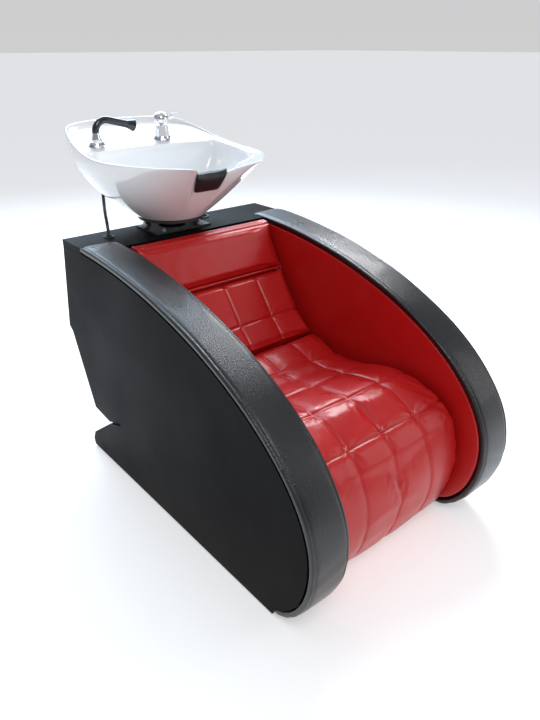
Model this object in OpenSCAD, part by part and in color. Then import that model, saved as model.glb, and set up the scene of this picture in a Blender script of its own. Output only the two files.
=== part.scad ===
// Shampoo backwash unit: an upholstered chair between two curved arms, with a
// plumbing cabinet behind it that carries a tilting ceramic bowl.
// Origin: floor level, centre of the unit's box. +Y runs from the sitter's feet
// to the bowl, +Z up, -X is the sitter's right-hand side.

/* [Overall] */
// Width over both arms
unit_w = 700; // [680:10:740]
// Width of one arm
arm_w = 106; // [96:2:116]
// Thickness of the side boards
board_t = 18; // [15:1:20]
// Height of the glides that the arms stand on
glide_h = 5; // [4:1:8]

/* [Arm outline] */
// Centre of the long arc, along the unit
arc_y = 330; // [320:5:340]
// Height of the arm's foremost point
arc_z = 220; // [210:5:230]
// Length of the long arc, from its centre to the foremost point
arc_len = 962; // [950:2:975]
// Rise of the long arc above the foremost point
arc_rise = 463; // [450:1:475]
// Reach of the short arc under the foremost point
toe_len = 150; // [140:5:160]
// Thickness of the padded band on the arm's edge
band_t = 20; // [16:1:24]

/* [Seat and back] */
// Width of the seat and the back
seat_w = 480; // [470:2:484]
// Thickness of the lining on the arms' inner faces
lining_t = 10; // [8:1:10]
// Height of the seat board's top
seat_board_z = 290; // [286:1:291]

/* [Cabinet] */
// Width of the cabinet behind the seat
cabinet_w = 690; // [680:2:690]
// Thickness of the cabinet's boards
cabinet_t = 16; // [14:1:16]
// Height of the cabinet's top face
cabinet_z = 675; // [672:1:676]

/* [Bowl] */
// Sideways place of the bowl
bowl_x = -30; // [-60:5:0]
// Place of the bowl's foot along the unit
bowl_y = 340; // [338:1:344]
// Height of the bowl's foot
foot_z = 714; // [713:1:718]
// Radius of the bowl's foot
foot_r = 100; // [96:1:102]
// Height of the basin's floor
basin_z = 746; // [744:1:750]
// Wall thickness of the ceramic
bowl_wall = 14; // [12:1:15]
// Height of the tilt axis
tilt_z = 693; // [692:1:694]

/* [Fittings] */
// Radius of the drain hole
drain_r = 22.5; // [22:0.5:24]
// Mixer: distance from the bowl's axis, sideways
mixer_dx = 60; // [50:1:70]
// Mixer: distance from the bowl's axis, rearwards
mixer_dy = 120; // [118:1:124]
// Hand shower: distance from the bowl's axis, sideways
shower_dx = -160; // [-165:1:-155]
// Hand shower: distance from the bowl's axis, rearwards
shower_dy = 108; // [104:1:114]
// Radius of the shower hose
hose_r = 4.5; // [4:0.1:5]

/* [Hidden] */

$fn = 48;
half_w = unit_w / 2;
arm_in = half_w - arm_w;              // inner edge of the band
lining_x = arm_in + 2;                // inner face of the lining
inner_x = lining_x + lining_t;        // inner face of the inner panel
seat_h = seat_w / 2;
cab_h = cabinet_w / 2;
cab_in = cab_h - cabinet_t;
black = "#1b1d21";
red = "#b3161c";
board = "#b98f5e";

// ---- helpers -------------------------------------------------------------

// A profile in the Y-Z plane, made solid from x0 to x1
module slab(x0, x1) {
    translate([x0, 0, 0]) rotate([90, 0, 90]) linear_extrude(x1 - x0) children();
}

// The right-hand piece as drawn, or its mirror image for the left
module on_side(side) {
    if (side == "left") mirror([1, 0, 0]) children();
    else children();
}

// A cylinder lying along X, centred on [x0, y, z]
module rod(x0, x1, y, z, r) {
    translate([x0, y, z]) rotate([0, 90, 0]) cylinder(r = r, h = x1 - x0);
}

// A ring standing on z
module ring(r_out, r_in, h) {
    difference() {
        cylinder(r = r_out, h = h);
        translate([0, 0, -1]) cylinder(r = r_in, h = h + 2);
    }
}

// A straight block between two corners
module block(a, b) {
    translate(a) cube(b - a);
}

// ---- arms ----------------------------------------------------------------

arc_end = acos((arc_y - 290) / arc_len);
lower_y = arc_y - arc_len + toe_len;
lower_rise = arc_z - glide_h;

// The long arc, inset by d, from the foremost point up to angle end
function long_arc(d, end, n = 44) = [for (k = [0 : n]) let (t = end * k / n)
    [arc_y - (arc_len - d) * cos(t), arc_z + (arc_rise - d) * sin(t)]];
// The short arc, inset by d, from near the floor up to the foremost point
function short_arc(d, end = 78, n = 16) = [for (k = [0 : n]) let (t = end * (1 - k / n))
    [lower_y - (toe_len - d) * cos(t), arc_z - (lower_rise - d) * sin(t)]];

// Rear edge and base of the side panel, from the top corner down to the front
arm_rear = [[239, 431], [180, 372], [150, 312], [177, 172], [245, 149], [370, 58],
    [387, 26], [382, glide_h], [lower_y - 22, glide_h]];

module arm_panel(x0) {
    slab(x0, x0 + board_t) polygon(concat(long_arc(band_t, arc_end), arm_rear, short_arc(band_t)));
}

module arm_band() {
    outer = concat(short_arc(0), long_arc(0, arc_end));
    inner = concat(short_arc(band_t - 0.3), long_arc(band_t - 0.3, arc_end));
    n = len(inner);
    slab(-half_w, -arm_in) polygon(concat(outer, [for (k = [0 : n - 1]) inner[n - 1 - k]]));
}

// Places of the battens that hold an arm's two boards apart: [y, z]
batten_at = [[-560, 200], [-330, 478], [60, 600], [230, 610], [-60, 230], [-300, 230]];

module arm_battens() {
    for (p = batten_at) block([-half_w + board_t, p[0] - 20, p[1] - 20], [-inner_x - board_t, p[0] + 20, p[1] + 20]);
    block([-half_w + board_t, -470, glide_h], [-inner_x - board_t, 340, glide_h + 40]);
}

module inner_panel() difference() {
    arm_panel(-inner_x - board_t);
    bolt_bores(4.2);
}

module lining() difference() {
    slab(-inner_x, -lining_x) polygon(concat(long_arc(band_t + 6, 84),
        [[232, 646], [46, 325], [42, 12], [lower_y + 2, 12]], short_arc(band_t + 6, 66)));
    bolt_bores(4.2);
}

// ---- seat ----------------------------------------------------------------

rail_at = [[-420, 250], [0, 250], [76, 290], [238, 560]];    // centres [y, z]
rail_h = 24;                                                 // half height of a rail
rail_d = 14;                                                 // half depth of a rail

module bolt_bores(r) {
    for (p = rail_at, s = [-1, 1]) translate([s * (inner_x + board_t), p[0], p[1]])
        rotate([0, -s * 90, 0]) translate([0, 0, -1]) cylinder(r = r, h = 62);
}

module cross_rails() color(board) difference() {
    for (p = rail_at) let (h = p[0] < 50 ? lining_x : inner_x)
        block([-h, p[0] - rail_d, p[1] - rail_h], [h, p[0] + rail_d, p[1] + rail_h]);
    bolt_bores(4.2);
}

module arm_bolts() color("silver")
    for (p = rail_at, s = [-1, 1]) translate([s * (inner_x + board_t), p[0], p[1]])
        rotate([0, -s * 90, 0]) {
            translate([0, 0, -6]) cylinder(r = 7.5, h = 6);
            cylinder(r = 4, h = 60);
        }

module seat_board() color(board) block([-seat_h, -476, seat_board_z - 15], [seat_h, 40, seat_board_z]);

module front_board() color(board) block([-seat_h, -492, 8], [seat_h, -477, seat_board_z - 2]);

// Top of the seat from the back to the front edge, then the drop to the floor
seat_top = [[38, 324], [-13, 367], [-57, 366], [-121, 347], [-181, 345], [-285, 368],
    [-368, 383], [-424, 378], [-480, 362]];
front_face = [[-481, 361], [-512, 344], [-544, 309], [-563, 246], [-568, 193], [-555, 121],
    [-529, 44], [-508, 10], [-493, 10], [-493, seat_board_z + 1], [-481, seat_board_z + 1]];

module seat_cushion() color(red) slab(-seat_h, seat_h)
    polygon(concat([[38, seat_board_z + 1]], seat_top, [[-480, seat_board_z + 1]]));

module front_pad() color(red) slab(-seat_h, seat_h) polygon(front_face);

// ---- back ----------------------------------------------------------------

module back_board() color(board) slab(-seat_h, seat_h)
    polygon([[46, 325], [237, 651], [250, 643.5], [59, 317.5]]);

module back_cushion() color(red) slab(-seat_h, seat_h)
    polygon([[-8, 371], [44, 421], [71, 455], [134, 536], [139, 541], [161, 527], [44, 327]]);

module head_pad() color(red) slab(-seat_h, seat_h)
    polygon([[140, 543], [179, 621], [197, 668], [203, 676], [230, 676], [236, 670], [236, 654], [163, 529]]);

// ---- base ----------------------------------------------------------------

module floor_glides() color("dimgray")
    for (s = [-1, 1], y = [-440, -60, 310]) translate([s * (half_w + inner_x) / 2, y, 0])
        cylinder(r = 18, h = glide_h);

strap_x = 190;                        // floor bolts, half spacing across
strap_front_y = -410;
strap_rear_y = 330;
floor_bolt_r = 5.5;

module floor_strap(y) color("#55585c") {
    difference() {
        block([-lining_x, y - 30, 0], [lining_x, y + 30, 5]);
        for (s = [-1, 1]) translate([s * strap_x, y, -1]) cylinder(r = floor_bolt_r, h = 7);
    }
    for (s = [-1, 1]) block([s * (lining_x - 2) - 2, y - 30, 5], [s * (lining_x - 2) + 2, y + 30, 45]);
}

module kick_board() color(black) block([-inner_x, 250, 6], [inner_x, 264, 134]);

module plumbing_board() color(board) block([-inner_x, 224, 36], [inner_x, 240, 130]);

// ---- cabinet -------------------------------------------------------------

// Hose holes in the cabinet's top: [x, y, radius]
grommet = [[bowl_x - 205, bowl_y + 7, 12], [bowl_x + 124, bowl_y + 38, 26]];
mech_bolts = [[-62, -54], [62, -54], [-62, 40], [62, 40]];    // from the bowl's axis
rear_top_y = 412;
rear_mid = [458, 399];                // lower edge of the upper rear panel
hatch_low = [350, 157];               // lower edge of the hatch's outer face
hatch_len = 244;                      // length of the hatch up its slope
hatch_a = atan2(384 - 157, 440 - 350);
hinge_at = [351.6, 148.8];            // [y, z] of the hatch's hinge axis

module cabinet_top() color(black) difference() {
    translate([0, 0, cabinet_z - 18]) linear_extrude(18) polygon([[-arm_in + 2, 241], [arm_in - 2, 241],
        [arm_in - 2, 294], [cab_h, 294], [cab_h, rear_top_y], [-cab_h, rear_top_y], [-cab_h, 294],
        [-arm_in + 2, 294]]);
    translate([bowl_x, bowl_y, cabinet_z - 20]) cylinder(r = 42, h = 30);
    for (g = grommet) translate([g[0], g[1], cabinet_z - 20]) cylinder(r = g[2], h = 30);
    for (p = mech_bolts) translate([bowl_x + p[0], bowl_y + p[1], cabinet_z - 20]) cylinder(r = 4.2, h = 30);
}

module cabinet_side() color(black) slab(-cab_h, -cab_in)
    polygon([[292, cabinet_z - 19], [rear_top_y, cabinet_z - 19], rear_mid, [440, 384], hatch_low,
        [262, 146], [180, 174], [153, 311], [183, 370], [243, 430]]);

module rear_panel() color(black) slab(-cab_in, cab_in)
    polygon([[rear_top_y, cabinet_z - 19], rear_mid, [rear_mid[0] - 16, rear_mid[1]],
        [rear_top_y - 16, cabinet_z - 19]]);

module cabinet_floor() color(black) block([-cab_in, 266, 146], [cab_in, 330, 158]);

// A strip on the hatch's slope: u runs up the slope, v outwards from its face
module on_hatch(u0, u1, v0, v1, x0, x1) {
    translate([0, hatch_low[0], hatch_low[1]]) rotate([hatch_a, 0, 0])
        block([x0, u0, -v1], [x1, u1, -v0]);
}

module service_hatch() color(black) on_hatch(0, hatch_len, -cabinet_t, 0, -cab_in + 1.5, cab_in - 1.5);

module hatch_knob() color("silver")
    translate([0, hatch_low[0], hatch_low[1]]) rotate([hatch_a, 0, 0]) translate([0, 205, 0])
        rotate([180, 0, 0]) rotate_extrude() polygon([[0, 0], [6, 0], [6, 9], [12, 13], [12, 19], [9, 22], [0, 22]]);

hinge_x = [-200, 200];                // places of the two hatch hinges
knuckle_l = 20;
knuckle_r = 4.5;

module knuckle(x0) difference() {
    rod(x0 + 0.2, x0 + knuckle_l - 0.2, hinge_at[0], hinge_at[1], knuckle_r);
    rod(x0 - 1, x0 + knuckle_l + 1, hinge_at[0], hinge_at[1], 2.05);
}

module frame_leaves() color("silver") for (x = hinge_x) {
    for (k = [-1.5, 0.5]) knuckle(x + k * knuckle_l);
    for (k = [-1.5, 0.5]) difference() {
        block([x + k * knuckle_l + 0.2, 290, 144.3], [x + (k + 1) * knuckle_l - 0.2, hinge_at[0], 145.8]);
        rod(x - 40, x + 40, hinge_at[0], hinge_at[1], knuckle_r - 0.5);
    }
}

module hatch_leaves() color("silver") for (x = hinge_x) {
    knuckle(x - knuckle_l / 2);
    difference() {
        on_hatch(-7, 34, 0.02, 1.5, x - knuckle_l / 2 + 0.2, x + knuckle_l / 2 - 0.2);
        rod(x - 40, x + 40, hinge_at[0], hinge_at[1], knuckle_r - 0.5);
    }
}

module hinge_pins() color("silver") for (x = hinge_x)
    rod(x - 1.5 * knuckle_l, x + 1.5 * knuckle_l, hinge_at[0], hinge_at[1], 2);

// ---- tilt mechanism ------------------------------------------------------

cheek_x = 84;                         // inner face of a cheek, from the bowl's axis
cheek_t = 6;
pin_r = 6;
pin_bore_r = 6.05;
saddle_z = foot_z - 9;                // underside of the saddle plate

module cheek(x0, r, low, high) difference() {
    union() {
        rod(x0, x0 + cheek_t, 0, tilt_z, r);
        block([x0, -r, min(low, tilt_z)], [x0 + cheek_t, r, max(high, tilt_z)]);
    }
    rod(x0 - 1, x0 + cheek_t + 1, 0, tilt_z, pin_bore_r);
}

module tilt_base() color(black) translate([bowl_x, bowl_y, 0]) {
    difference() {
        block([-93, -67, cabinet_z], [93, 52, cabinet_z + 5]);
        translate([0, 0, cabinet_z - 1]) cylinder(r = 42, h = 7);
        for (p = mech_bolts) translate([p[0], p[1], cabinet_z - 1]) cylinder(r = 4.2, h = 7);
    }
    for (x = [cheek_x, -cheek_x - cheek_t]) cheek(x, 10, cabinet_z + 4, tilt_z);
}

module tilt_bolts() color("silver") translate([bowl_x, bowl_y, 0])
    for (p = mech_bolts) translate([p[0], p[1], 0]) {
        translate([0, 0, cabinet_z + 5]) cylinder(r = 6.5, h = 5);
        translate([0, 0, cabinet_z - 24]) cylinder(r = 4, h = 29);
    }

module tilt_pins() color("silver") translate([bowl_x, bowl_y, 0]) for (s = [0, 1]) mirror([s, 0, 0]) {
    rod(74, cheek_x + cheek_t, 0, tilt_z, pin_r);
    rod(cheek_x + cheek_t, cheek_x + cheek_t + 4, 0, tilt_z, 9);
}

module friction_washers() color("dimgray") translate([bowl_x, bowl_y, 0]) for (s = [0, 1]) mirror([s, 0, 0])
    difference() {
        rod(cheek_x - 1.9, cheek_x - 0.1, 0, tilt_z, 9.5);
        rod(cheek_x - 4, cheek_x + 2, 0, tilt_z, pin_bore_r);
    }

module tilt_saddle() color(black) translate([bowl_x, bowl_y, 0]) {
    translate([0, 0, saddle_z]) ring(foot_r - 2, 52, 5);
    for (x = [cheek_x - 2 - cheek_t, -cheek_x + 2]) cheek(x, 9, tilt_z, saddle_z + 1);
}

module foot_gasket() color("#202020") translate([bowl_x, bowl_y, foot_z - 4]) ring(foot_r - 1, foot_r - 22, 4);

// ---- bowl ----------------------------------------------------------------
// Half of the bowl's plan, from the neck recess round to the rear, relative to
// the foot's axis. Each row: rim x, y, z; basin edge x, y, z; bulge of the
// hull (1 is straight); share of the hollow under the shelf.
bowl_half = [
    [0, -207, 852, 0, -187, 846, 1.25, 0],
    [30, -209, 852, 32, -188, 846, 1.25, 0],
    [52, -220, 856, 58, -190, 850, 1.2, 0],
    [74, -262, 874, 84, -187, 862, 1, 0],
    [104, -301, 889, 112, -182, 874, 0.85, 0],
    [147, -262, 891, 146, -173, 880, 1, 0],
    [187, -211, 891, 174, -155, 882, 1.25, 0],
    [222, -115, 890, 204, -100, 884, 1.7, 0],
    [238, -12, 892, 220, -12, 886, 2, 0],
    [233, 90, 906, 212, 50, 896, 2.3, 0.3],
    [215, 182, 930, 190, 70, 903, 2.5, 0.9],
    [187, 247, 948, 152, 78, 905, 2.5, 1],
    [118, 280, 955, 92, 83, 906, 2.5, 1],
    [0, 292, 957, 0, 85, 906, 2.5, 1]];
bowl_n = len(bowl_half) - 1;
bowl_rows = concat(bowl_half, [for (k = [bowl_n - 1 : -1 : 1]) let (r = bowl_half[k])
    concat([-r[0]], [r[1], r[2]], [-r[3]], [for (j = [4 : 7]) r[j]])]);
bowl_m = len(bowl_rows);
bowl_div = 3;                         // steps between two rows

// Smooth curve through the rows
function mid_row(a, b, c, d, t) = [for (j = [0 : 7]) b[j] + 0.5 * t * (c[j] - a[j]
    + t * (2 * a[j] - 5 * b[j] + 4 * c[j] - d[j] + t * (3 * (b[j] - c[j]) + d[j] - a[j])))];
function row_at(k, t) = mid_row(bowl_rows[(k + bowl_m - 1) % bowl_m], bowl_rows[k % bowl_m],
    bowl_rows[(k + 1) % bowl_m], bowl_rows[(k + 2) % bowl_m], t);
ring_rows = [for (k = [0 : bowl_m - 1], s = [0 : bowl_div - 1]) row_at(k, s / bowl_div)];

function unit2(v) = v / norm(v);
function at_z(v, z) = [v[0], v[1], z];
// Hull point at height share s, moved inwards by d
function hull_at(r, s, d = 0) = let (
    dir = unit2([r[0], r[1]]), foot = dir * foot_r, rim = [r[0], r[1]],
    w = 1 - pow(1 - s, r[6]), p = foot + (rim - foot) * w)
    at_z(p - dir * d, foot_z + (r[2] - foot_z) * s);
// Basin wall at angle a below the edge, grown outwards by d
function basin_at(r, a, d = 0) = let (
    edge = [r[3], r[4]], dir = unit2(edge), low = dir * 40,
    e = edge + dir * d, top = r[5] - d, bottom = basin_z - d)
    at_z(low + (e - low) * cos(a), top - (top - bottom) * sin(a));

// One closed section through the wall, from the drain out over the rim,
// down the hull, under the foot and back inside the hollow
function bowl_section(r) = let (
    rim = [r[0], r[1]], edge = [r[3], r[4]], in = unit2(edge - rim), dir = unit2(rim),
    shelf = rim + in * bowl_wall, shelf_z = r[5] + 0.1 * norm(shelf - edge), c = min(1, max(0, r[7])))
    concat(
        [at_z(dir * 20, basin_z), at_z(unit2(edge) * 40, basin_z)],
        [for (a = [72, 56, 42, 29, 17, 7, 0]) basin_at(r, a)],
        [at_z(shelf, min(shelf_z, r[2] - 4)), at_z(rim + in * (bowl_wall - 3), r[2] - 1.5),
            at_z(rim + in * 7, r[2] + 1), at_z(rim + in * 1.5, r[2] - 1)],
        [for (s = [0.97, 0.9, 0.8, 0.67, 0.53, 0.4, 0.27, 0.15, 0.06, 0]) hull_at(r, s)],
        [at_z(dir * (foot_r - bowl_wall), foot_z)],
        [for (k = [0 : 4]) let (flat = at_z(dir * (84 - 4 * k), foot_z + 3 + 1.5 * k))
            flat + c * (hull_at(r, [0.1, 0.3, 0.48, 0.64, 0.74][k], bowl_wall) - flat)],
        [for (k = [0 : 3]) let (flat = at_z(dir * (64 - 5 * k), foot_z + 9 - 1.5 * k))
            flat + c * (basin_at(r, [4, 24, 42, 56][k], bowl_wall + 2) - flat)],
        [at_z(dir * 42, foot_z + 4), at_z(dir * 20, foot_z + 4)]);

bowl_sections = [for (r = ring_rows) bowl_section(r)];

// A closed skin over a ring of closed sections
module skin(sections) {
    n = len(sections);
    m = len(sections[0]);
    polyhedron(points = [for (s = sections, p = s) p],
        faces = [for (i = [0 : n - 1], j = [0 : m - 1], t = [0, 1]) let (
            a = i * m + j, b = i * m + (j + 1) % m,
            c = ((i + 1) % n) * m + (j + 1) % m, d = ((i + 1) % n) * m + j)
            t == 0 ? [a, c, b] : [a, d, c]]);
}

module ceramic_bowl() color("white") translate([bowl_x, bowl_y, 0]) difference() {
    skin(bowl_sections);
    translate([0, 0, foot_z - 1]) cylinder(r = drain_r, h = 60);
    translate([mixer_dx, mixer_dy, 870]) cylinder(r = 17.5, h = 60);
    translate([mixer_dx, mixer_dy, deck_z]) cylinder(r = 29, h = 20);
    translate([shower_dx, shower_dy, 730]) cylinder(r = 13, h = 220);
    translate([shower_dx, shower_dy, socket_z]) cylinder(r = 26, h = 20);
    translate([88, 92, 700]) cylinder(r = 28, h = 60);
}

// Rubber saddle over the lip of the neck recess
neck_steps = [for (k = [-6 : 6]) k];
function row_of(k) = ring_rows[(k + len(ring_rows)) % len(ring_rows)];
function neck_section(k) = let (
    r = row_of(k), rim = [r[0], r[1]], edge = [r[3], r[4]], in = unit2(edge - rim),
    a = row_of(k - 1), b = row_of(k + 1), out = unit2([b[1] - a[1], a[0] - b[0]]), thick = 13 - 0.2 * k * k,
    hull = [for (s = [0.97, 0.8, 0.67]) hull_at(r, s)])
    concat(
        [at_z(edge, r[5] + 2.5), at_z(rim + in * 10, r[2] + 2.5), at_z(rim + in * 4, r[2] + 3.5),
            at_z(rim + out * 3, r[2] + 1)],
        [for (h = hull) h + concat(out * 3, [-1])],
        [for (j = [2 : -1 : 0]) hull[j] + concat(out * (3 + thick), [0])],
        [at_z(rim + out * (thick * 0.8), r[2] + 8), at_z(rim + in * 3, r[2] + 12), at_z(edge, r[5] + 8)]);

module neck_rest() color("#101010") translate([bowl_x, bowl_y, 0]) {
    sections = [for (k = neck_steps) neck_section(k)];
    n = len(sections);
    m = len(sections[0]);
    polyhedron(points = [for (s = sections, p = s) p],
        faces = concat(
            [for (i = [0 : n - 2], j = [0 : m - 1], t = [0, 1]) let (
                a = i * m + j, b = i * m + (j + 1) % m, c = (i + 1) * m + (j + 1) % m, d = (i + 1) * m + j)
                t == 0 ? [a, b, c] : [a, c, d]],
            [for (j = [1 : m - 2]) [0, j + 1, j]],
            [for (j = [1 : m - 2]) [(n - 1) * m, (n - 1) * m + j, (n - 1) * m + j + 1]]));
}

// ---- waste ---------------------------------------------------------------

waste_low = 662;                      // lower end of the waste tail

module waste_flange() color("silver") translate([bowl_x, bowl_y, 0]) difference() {
    union() {
        translate([0, 0, basin_z + 0.2]) cylinder(r = 36, h = 3);
        translate([0, 0, waste_low]) cylinder(r = drain_r - 0.5, h = basin_z - waste_low + 1);
    }
    translate([0, 0, waste_low - 1]) cylinder(r = 18, h = basin_z - waste_low + 10);
    translate([0, 0, basin_z + 1.2]) cylinder(r = 28, h = 8);
}

module waste_nut() color("white") translate([bowl_x, bowl_y, foot_z - 8]) difference() {
    cylinder(r = 34, h = 12, $fn = 8);
    translate([0, 0, -1]) cylinder(r = drain_r - 0.45, h = 14);
}

module strainer() color("silver") translate([bowl_x, bowl_y, basin_z + 1.3]) difference() {
    union() {
        cylinder(r = 27.5, h = 2);
        translate([0, 0, 2]) cylinder(r = 5, h = 5);
    }
    for (k = [0 : 11]) rotate([0, 0, 30 * k]) translate([19, 0, -1]) cylinder(r = 2.6, h = 4);
    for (k = [0 : 5]) rotate([0, 0, 60 * k]) translate([11, 0, -1]) cylinder(r = 2.2, h = 4);
}

// A tube of radius r along a route of points
function route_dir(p, i) = let (n = len(p) - 1, d = p[min(n, i + 1)] - p[max(0, i - 1)]) d / norm(d);
function side_of(t) = let (v = cross(t, abs(t[1]) < 0.9 ? [0, 1, 0] : [1, 0, 0])) v / norm(v);
module tube(p, r, sides) {
    n = len(p);
    polyhedron(points = [for (i = [0 : n - 1]) let (t = route_dir(p, i), u = side_of(t), v = cross(t, u))
            each [for (k = [0 : sides - 1]) p[i] + r * (u * cos(360 * k / sides) + v * sin(360 * k / sides))]],
        faces = concat([[for (k = [0 : sides - 1]) k]],
            [for (i = [0 : n - 2], k = [0 : sides - 1]) let (l = (k + 1) % sides)
                [i * sides + l, i * sides + k, (i + 1) * sides + k, (i + 1) * sides + l]],
            [[for (k = [sides - 1 : -1 : 0]) (n - 1) * sides + k]]));
}
// Smooth route through the chosen points, with d steps between two of them
function smooth(p, d) = let (n = len(p) - 1) concat([for (i = [0 : n - 1], s = [0 : d - 1]) let (
    a = p[max(0, i - 1)], b = p[i], c = p[i + 1], e = p[min(n, i + 2)], t = s / d)
    b + 0.5 * t * (c - a + t * (2 * a - 5 * b + 4 * c - e + t * (3 * (b - c) + e - a)))], [p[n]]);

outlet = [bowl_x, bowl_y - 150, 60];  // middle of the waste outlet
waste_route = [[0, 0, waste_low - 0.5], [0, 0, 600], [0, -5, 520], [0, -27, 430], [0, -65, 340],
    [0, -110, 250], [0, -138, 180], [0, -150, 130], [0, -150, 115], [0, -150, 100.5]];
// The three mixer hoses run as one bundle from the mixer down into the cabinet
bundle = [[60, 120, 865.8], [60, 120, 840], [64, 120, 805], [74, 113, 772], [84, 100, 748], [90, 92, 728],
    [99, 77, 706], [112, 56, 688], [121, 43, 670], [124, 38, 650], [124, 34, 600]];
supply_drop = [[124, 20, 540], [120, -20, 430], [112, -80, 320], [106, -130, 220], [106, -148, 150],
    [106, -150, 120], [106, -150, 99.6]];
// The shower hose hangs in a loop inside the cabinet before it rises again
shower_loop = [[120, 34, 540], [106, 36, 460], [80, 32, 380], [36, 24, 310], [-24, 18, 270], [-90, 16, 262],
    [-150, 14, 290], [-188, 10, 360], [-202, 8, 450], [-205, 7, 560], [-205, 7, 645], [-204, 9, 680],
    [-199, 22, 708], [-186, 54, 732], [-168, 92, 750], [-160, 108, 774], [-160, 108, 800], [-160, 108, 850],
    [-160, 108, 900]];
function shift(p, d) = [for (q = p) q + [d[0], d[1], 0]];

module waste_hose() color("white") translate([bowl_x, bowl_y, 0]) tube(smooth(waste_route, 3), 20, 12);

module waste_outlet() color("gray") translate(outlet) {
    translate([0, 0, -40]) ring(20, 17, 52.1);
    translate([0, 0, 12]) ring(23, 17, 18.1);
    translate([0, 0, 30]) ring(27, 17, 9.8);
    difference() {
        block([-12, 18, 12], [12, 224 - outlet[1], 27]);
        translate([0, 0, -20]) cylinder(r = 18.5, h = 60);
    }
}

// ---- mixer ---------------------------------------------------------------

deck_z = 909;                         // shelf height at the mixer
mixer_at = [bowl_x + mixer_dx, bowl_y + mixer_dy];
ball_z = deck_z + 52;                 // centre of the ball that carries the lever
ball_r = 17.5;
lever_turn = 12;                      // the lever's resting turn from +X

module at_mixer() translate([mixer_at[0], mixer_at[1], 0]) rotate([0, 0, lever_turn]) children();

module mixer_body() color("silver") at_mixer() difference() {
    union() {
        translate([0, 0, deck_z + 0.3]) cylinder(r1 = 27, r2 = 25, h = 5.7);
        translate([0, 0, deck_z + 6]) cylinder(r1 = 22, r2 = 20, h = 28);
        translate([0, 0, deck_z - 43]) cylinder(r = 15, h = 45);
    }
    translate([0, 0, deck_z + 10]) cylinder(r = 6.05, h = 40);
}

module mixer_nut() color("#b08d57") translate([mixer_at[0], mixer_at[1], deck_z - 41]) difference() {
    cylinder(r = 21, h = 9, $fn = 6);
    translate([0, 0, -1]) cylinder(r = 15.05, h = 11);
}

module mixer_spindle() color("gray") at_mixer() difference() {
    union() {
        translate([0, 0, ball_z]) sphere(r = ball_r);
        translate([0, 0, deck_z + 11]) cylinder(r = 6, h = 30);
    }
    translate([0, 30, ball_z]) rotate([90, 0, 0]) cylinder(r = 2.05, h = 60);
}

module mixer_lever() color("silver") at_mixer() {
    difference() {
        translate([0, 0, ball_z]) sphere(r = 22.5);
        translate([0, 0, ball_z]) sphere(r = ball_r + 0.7);
        translate([0, 0, ball_z - 36]) cylinder(r = 30, h = 30);
    }
    for (s = [0, 180]) translate([0, 0, ball_z]) rotate([90, 0, s]) translate([0, 0, 13]) cylinder(r = 2, h = 6.5);
    hull() {
        translate([19, -6, ball_z + 2]) cube([4, 12, 7]);
        translate([68, -8, ball_z + 12]) cube([6, 16, 3.5]);
    }
}

// ---- supply hoses --------------------------------------------------------

supply_r = 6;
supply_at = [[-9.4, -5.6], [9.4, 5.6]];      // the two supplies within the bundle

module supply_hoses() color("#cfd3d6") translate([bowl_x, bowl_y, 0]) for (k = [0, 1])
    tube(smooth(concat(shift(bundle, supply_at[k]), shift(supply_drop, supply_at[k] * 2)), 3), supply_r, 10);

inlet_r = 10.5;
module inlet_tails() color("#b08d57") for (k = [0, 1]) let (q = supply_drop[6] + [bowl_x, bowl_y, 0])
    translate([q[0] + 2 * supply_at[k][0], q[1] + 2 * supply_at[k][1], 0]) {
        translate([0, 0, 50]) ring(inlet_r, 6, 26);
        translate([0, 0, 76]) ring(13, 6, 23.4);
        difference() {
            block([-8, 8, 78], [8, 224 - q[1] - 2 * supply_at[k][1], 92]);
            translate([0, 0, 70]) cylinder(r = 12, h = 30);
        }
    }

// ---- hand shower ---------------------------------------------------------

shower_at = [bowl_x + shower_dx, bowl_y + shower_dy];
socket_z = 909;                       // shelf height at the socket
arch_r = 32;                          // radius of the handle's arch
arch_deg = 104;                       // angle of the arch
reach = 60;                           // straight length after the arch
grip_z = socket_z + 32;               // where the arch starts

sleeve_z = 803;                       // lower end of the handset's hose sleeve

module at_shower() translate([shower_at[0], shower_at[1], 0]) children();

module shower_socket() color("silver") at_shower() difference() {
    union() {
        translate([0, 0, socket_z + 0.3]) cylinder(r1 = 24, r2 = 21, h = 6.7);
        translate([0, 0, socket_z - 22]) cylinder(r = 12.5, h = 26);
        translate([0, 0, socket_z + 7]) cylinder(r = 17, h = 8);
    }
    translate([0, 0, socket_z - 30]) cylinder(r = 9.05, h = 60);
}

module handset_collar() color("silver") at_shower() difference() {
    union() {
        translate([0, 0, socket_z - 12]) cylinder(r = 9, h = 28);
        translate([0, 0, socket_z + 15.2]) cylinder(r1 = 14, r2 = 10, h = 16.8);
    }
    translate([0, 0, socket_z - 13]) cylinder(r = 5.6, h = 22);
}

// The handle is an arch in the X-Z plane that starts upright
module on_arch(deg) {
    translate([arch_r, 0, grip_z]) rotate([0, deg, 0]) translate([-arch_r, 0, 0]) children();
}

module handset_handle() color("#15161a") at_shower() {
    translate([arch_r, 0, grip_z]) rotate([90, 0, 0]) rotate([0, 0, 180 - arch_deg])
        rotate_extrude(angle = arch_deg) translate([arch_r, 0]) circle(r = 10);
    on_arch(arch_deg) difference() {
        union() {
            cylinder(r1 = 10, r2 = 11, h = reach);
            translate([0, 0, reach]) cylinder(r1 = 11, r2 = 17, h = 22);
        }
        translate([0, 0, reach + 19]) cylinder(r = 15, h = 6);
    }
}

module handset_face() color("#c8ccd0") at_shower() on_arch(arch_deg) translate([0, 0, reach + 19]) difference() {
    cylinder(r = 14.9, h = 4);
    for (k = [0 : 11], q = [5.5, 10.5]) rotate([0, 0, 30 * k + (q > 6 ? 15 : 0)]) translate([q, 0, 2])
        cylinder(r = 0.8, h = 4, $fn = 6);
}

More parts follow.
